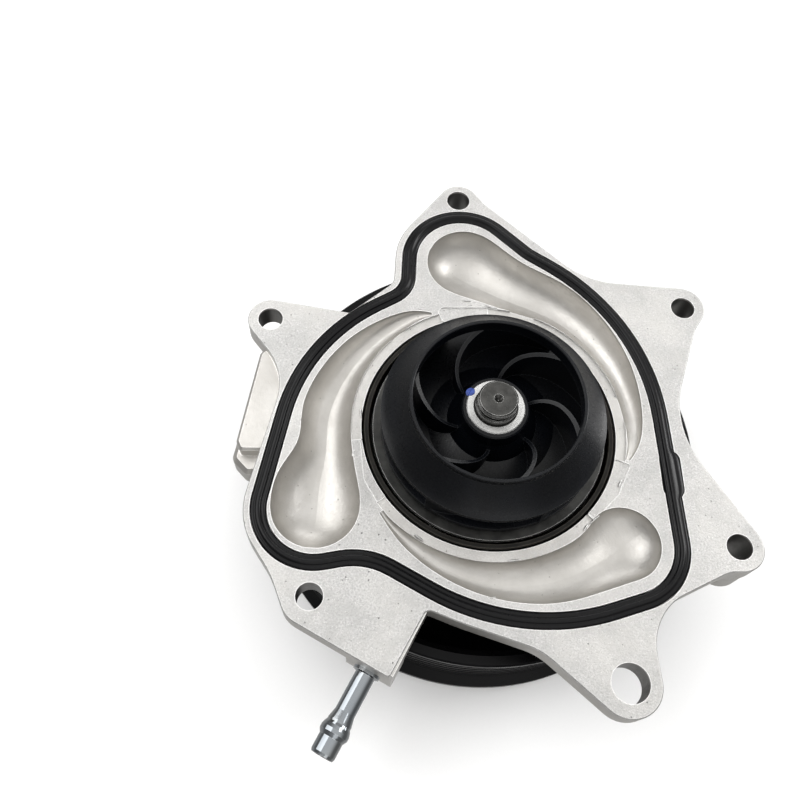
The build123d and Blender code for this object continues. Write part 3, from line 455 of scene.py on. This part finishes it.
def make_materials():
    """One material for each slot of the record."""
    materials = {name: turned_steel(name, *look) for name, look in STEELS.items()}
    materials["cast_aluminium"] = cast_aluminium()
    materials["gasket_rubber"] = gasket_rubber()
    materials["plated_steel"] = zinc_plating()
    materials["cage_plastic"] = cage_polyamide()
    materials["seal_rubber"] = black_plastic("seal_rubber", (0.008, 0.008, 0.008), 80.0, 0.34)
    materials["seal_carbon"] = carbon("seal_carbon", (0.035, 0.035, 0.037), 0.28)
    materials["seal_ceramic"] = carbon("seal_ceramic", (0.07, 0.07, 0.075), 0.18)
    plastic = (0.0009, 0.0012, 0.0020)
    materials["impeller_plastic"] = black_plastic("impeller_plastic", plastic, specular=0.24)
    materials["slide_steel"] = slide_coating()
    materials["pulley_steel"] = pulley_coat()
    return materials


def dress_nodes(materials):
    """Gives every CAD node the finish of its material slot."""
    for entry in frame["record"]["subparts"]:
        node = NODES[entry["node"]]
        node.data.materials.clear()
        node.data.materials.append(materials[entry["material_slot"]])


# ================================ refined pieces ====================================================

def new_piece(name, mesh, material, body):
    """Object that rides on a CAD body and takes a slot's finish."""
    piece = bpy.data.objects.new(name, mesh)
    bpy.context.scene.collection.objects.link(piece)
    mesh.materials.append(material)
    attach(piece, body)
    return piece


def loft_rings(name, rings, loop=False):
    """Smooth mesh through rings of points in millimetres; each ring is closed."""
    mesh = bmesh.new()
    rows = [[mesh.verts.new(Vector(point) * MM) for point in ring] for ring in rings]
    count = len(rows[0])
    pairs = list(zip(rows, rows[1:]))
    if loop:
        pairs.append((rows[-1], rows[0]))
    for first, second in pairs:
        for index in range(count):
            after = (index + 1) % count
            mesh.faces.new((first[index], first[after], second[after], second[index]))
    if not loop:
        mesh.faces.new(rows[0])
        mesh.faces.new(rows[-1])
    bmesh.ops.recalc_face_normals(mesh, faces=mesh.faces)
    for face in mesh.faces:
        face.smooth = True
    made = bpy.data.meshes.new(name)
    mesh.to_mesh(made)
    mesh.free()
    return made


def rolled_line(circles, step):
    """Stations (x, y, heading) along the closed line that rolls round the circles."""
    runs = []
    for (x1, y1, r1), (x2, y2, r2) in zip(circles, circles[1:] + circles[:1]):
        gap = math.hypot(x2 - x1, y2 - y1)
        heading = math.atan2(y2 - y1, x2 - x1) + math.asin((r1 - r2) / gap)
        across = Vector((math.sin(heading), -math.cos(heading)))
        runs.append((Vector((x1, y1)) + across * r1, Vector((x2, y2)) + across * r2, heading))
    stations = []
    for index, (x, y, radius) in enumerate(circles):
        came = runs[index - 1][2]
        leave, meet, heading = runs[index]
        turn = (heading - came) % math.tau
        if radius < 0:
            turn = -((came - heading) % math.tau)
        count = max(2, math.ceil(abs(turn * radius) / step))
        for part in range(count):
            at = came + turn * part / count
            stations.append((x + radius * math.sin(at), y - radius * math.cos(at), at))
        count = max(1, math.ceil((meet - leave).length / step))
        for part in range(count):
            point = leave.lerp(meet, part / count)
            stations.append((point.x, point.y, heading))
    return stations


def gasket_height(share):
    """Height of the gasket's top across its half width: round bead, valley and rounded shoulder."""
    if share < BEAD_SHARE:
        return GASKET_VALLEY + (GASKET_CROWN - GASKET_VALLEY) * math.sqrt(1 - (share / BEAD_SHARE) ** 2)
    across = (share - BEAD_SHARE) / (1 - BEAD_SHARE)
    rise = math.sin(math.pi * min(across / SHOULDER_SHARE, 1.0))
    drop = GASKET_EDGE_DROP * across ** GASKET_EDGE_SQUARENESS
    return GASKET_VALLEY + (GASKET_SHOULDER - GASKET_VALLEY) * rise - drop


def gasket_mesh():
    """Moulded profile: a central bead between two rounded shoulders, with the locating nub."""
    steps = range(2 * GASKET_SIDE_STEPS + 1)
    shares = [math.sin(math.pi / 2 * (step / GASKET_SIDE_STEPS - 1)) for step in steps]
    rings = []
    for x, y, heading in rolled_line(GASKET_LINE, GASKET_STEP):
        out = Vector((math.sin(heading), -math.cos(heading)))
        near = abs(y - NUB_PLACE.y) if x > 0 else NUB_REACH
        swell = NUB_SWELL * (1 - min(near / NUB_REACH, 1.0) ** NUB_SQUARENESS)
        ring = []
        for share in shares:
            width = GASKET_HALF_WIDTH * share + swell * max(share, 0.0)
            ring.append((x + out.x * width, y + out.y * width, gasket_height(abs(share))))
        for side, extra in ((1, swell), (-1, 0.0)):
            width = side * (GASKET_HALF_WIDTH + extra - GASKET_FOOT_INSET)
            ring.append((x + out.x * width, y + out.y * width, GASKET_FOOT))
        rings.append(ring)
    return loft_rings("gasket_profile", rings, loop=True)


def burr_mesh(name, length, height, seed):
    """Torn sliver of flash: a low ridge with a ragged crest."""
    rings = []
    for step in range(BURR_STEPS + 1):
        share = step / BURR_STEPS
        swell = math.sin(math.pi * min(max(share, 0.02), 0.98)) ** 0.6
        ragged = 0.55 + 0.75 * noise.noise(Vector((share * 5.0, seed, 0.0)))
        crest = max(height * swell * (0.5 + ragged * 0.6), BURR_LEAST_HEIGHT)
        lean = BURR_LEAN * noise.noise(Vector((share * 4.0, seed, 3.0)))
        half = BURR_END_HALF_WIDTH + BURR_SWELL * swell
        run = (share - 0.5) * length
        rings.append([
            (run, -half, BURR_FOOT),
            (run, half, BURR_FOOT),
            (run, lean + 0.5 * half, 0.45 * crest),
            (run, lean, crest),
            (run, lean - 0.4 * half, 0.55 * crest),
        ])
    return loft_rings(name, rings)


def add_burrs(metal):
    for number, (x, y, z, heading, length, height) in enumerate(FLASH_BURRS):
        name = f"flash_burr_{number}"
        mesh = burr_mesh(name, length, height, BURR_SEED_STEP * number)
        turn = Matrix.Rotation(math.radians(heading), 4, "Z")
        mesh.transform(Matrix.Translation(Vector((x, y, z)) * MM) @ turn)
        new_piece(name, mesh, metal, "pump_body")


def paint_floor(radius):
    """Height under the paint: the bush's face, then the step down to the hub's."""
    if radius < BUSH_EDGE:
        return BUSH_FACE
    return HUB_FACE + (BUSH_FACE - HUB_FACE) * max(0.0, 1 - (radius - BUSH_EDGE) / BUSH_EDGE_RUN)


def paint_mesh():
    """Dab of paint over the bush's edge: a thin cap that follows the step down to the hub."""
    rings = []
    for step in range(PAINT_STEPS + 1):
        share = step / PAINT_STEPS * 2 - 1
        ragged = 0.25 * noise.noise(Vector((share * 3.0, 5.0, 0.0)))
        spread = PAINT_SPREAD * math.sqrt(max(1 - share ** 2, 0.02)) + 0.03 * ragged
        radius = PAINT_RADIUS + PAINT_REACH * share
        height = paint_floor(radius)
        top = []
        low = []
        for part in range(2 * PAINT_SIDE_STEPS + 1):
            across = part / PAINT_SIDE_STEPS - 1
            angle = PAINT_DIRECTION + spread * across
            point = (radius * math.cos(angle), radius * math.sin(angle))
            top.append((*point, height + PAINT_LIFT + PAINT_DOME * (1 - across ** 2)))
            low.append((*point, height - PAINT_SINK))
        rings.append(top + low[::-1])
    return loft_rings("paint_dab", rings)


def add_return_springs(steel):
    """The springs stand against the cover plate; a copy of the CAD springs rides on the pump body in
    place of the hidden CAD node.
    """
    mesh = NODES["slide_return_springs"].data.copy()
    mesh.materials.clear()
    springs = new_piece("return_springs", mesh, steel, "pump_body")
    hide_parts("slide_return_springs")
    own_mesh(springs)


def add_gasket(rubber):
    gasket = new_piece("gasket_profile", gasket_mesh(), rubber, "pump_body")
    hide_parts("profile_gasket")


def add_pieces(materials):
    add_gasket(materials["gasket_rubber"])
    add_return_springs(materials["seal_steel"])
    add_burrs(materials["cast_aluminium"])
    new_piece("paint_dab", paint_mesh(), marking_paint(), "rotor")


# ================================ camera, light and stage ===========================================

def looking(place, aim, up=Vector((0, 0, 1)), roll=0.0):
    """Matrix of a camera or lamp at a place, facing another."""
    back = (place - aim).normalized()
    right = up.cross(back).normalized()
    turn = Matrix((right, back.cross(right), back)).transposed().to_4x4()
    return Matrix.Translation(place) @ turn @ Matrix.Rotation(roll, 4, "Z")


def make_camera():
    data = bpy.data.cameras.new("camera")
    data.lens = CAMERA_LENS
    data.sensor_width = 36.0
    data.clip_start = 0.01
    camera = bpy.data.objects.new("camera", data)
    bpy.context.scene.collection.objects.link(camera)
    camera.matrix_world = looking(CAMERA_PLACE, CAMERA_AIM, Vector((0, 1, 0)), CAMERA_ROLL)
    bpy.context.scene.camera = camera


def make_lights():
    for name, place, aim, width, height, power in SOFT_LIGHTS:
        data = bpy.data.lights.new(name, "AREA")
        data.shape = "RECTANGLE"
        data.size = width
        data.size_y = height
        data.energy = power
        lamp = bpy.data.objects.new(name, data)
        bpy.context.scene.collection.objects.link(lamp)
        lamp.matrix_world = looking(Vector(place), Vector(aim))
    make_studio_world()


def world_fade(world, value, run, lights):
    """Smooth change between two lights as a value goes through its run."""
    fade = world.node_tree.nodes.new("ShaderNodeMapRange")
    fade.interpolation_type = "SMOOTHSTEP"
    fade.inputs["From Min"].default_value = run[0]
    fade.inputs["From Max"].default_value = run[1]
    fade.inputs["To Min"].default_value = lights[0]
    fade.inputs["To Max"].default_value = lights[1]
    world.node_tree.links.new(value, fade.inputs["Value"])
    return fade.outputs["Result"]


def make_studio_world():
    """Surroundings: a bright ceiling, dim walls and the soft return of the paper below."""
    world = bpy.data.worlds.new("studio")
    world.use_nodes = True
    nodes = world.node_tree.nodes
    links = world.node_tree.links
    place = nodes.new("ShaderNodeTexCoord")
    dot = nodes.new("ShaderNodeVectorMath")
    dot.operation = "DOT_PRODUCT"
    dot.inputs[1].default_value = CEILING
    links.new(place.outputs["Generated"], dot.inputs[0])
    facing = dot.outputs["Value"]
    total = nodes.new("ShaderNodeMath")
    total.operation = "ADD"
    links.new(world_fade(world, facing, CEILING_FADE, (WALL_LIGHT, CEILING_LIGHT)), total.inputs[0])
    links.new(world_fade(world, facing, PAPER_FADE, (0.0, PAPER_LIGHT)), total.inputs[1])
    links.new(total.outputs[0], nodes["Background"].inputs["Strength"])
    nodes["Background"].inputs["Color"].default_value = (1.0, 0.995, 0.985, 1.0)
    bpy.context.scene.world = world


def paper_profile(low):
    """Radius and height of the paper's rings, from the floor out and up the wall."""
    profile = [(FLOOR_REACH * (step + 1) / FLOOR_RINGS, low) for step in range(FLOOR_RINGS)]
    for step in range(1, CURVE_STEPS + 1):
        angle = math.pi / 2 * step / CURVE_STEPS
        height = low + FLOOR_CURVE * (1 - math.cos(angle))
        profile.append((FLOOR_REACH + FLOOR_CURVE * math.sin(angle), height))
    profile.append((FLOOR_REACH + FLOOR_CURVE, low + WALL_HEIGHT))
    return profile


def paper_mesh():
    low = CAD_BOX[0][2] - FLOOR_DROP
    profile = paper_profile(low)
    points = [(0.0, 0.0, low)]
    for radius, height in profile:
        for turn in range(FLOOR_SIDES):
            angle = math.tau * turn / FLOOR_SIDES
            points.append((radius * math.cos(angle), radius * math.sin(angle), height))
    faces = []
    for turn in range(FLOOR_SIDES):
        after = (turn + 1) % FLOOR_SIDES
        faces.append((0, 1 + turn, 1 + after))
        for row in range(len(profile) - 1):
            start = 1 + row * FLOOR_SIDES
            above = start + FLOOR_SIDES
            faces.append((start + turn, above + turn, above + after, start + after))
    mesh = bpy.data.meshes.new("studio_floor")
    mesh.from_pydata(points, [], faces)
    mesh.shade_smooth()
    return mesh


def make_stage():
    """Seamless paper: a round floor that curves up into a wall. It takes shadows and gives no light."""
    floor = bpy.data.objects.new("studio_floor", paper_mesh())
    bpy.context.scene.collection.objects.link(floor)
    floor.data.materials.append(floor_paper())
    floor.visible_diffuse = False
    floor.visible_glossy = False
    floor.visible_shadow = False


def main():
    bpy.context.scene.view_settings.view_transform = "Standard"
    make_camera()
    make_lights()
    make_stage()
    materials = make_materials()
    dress_nodes(materials)
    add_pieces(materials)


main()
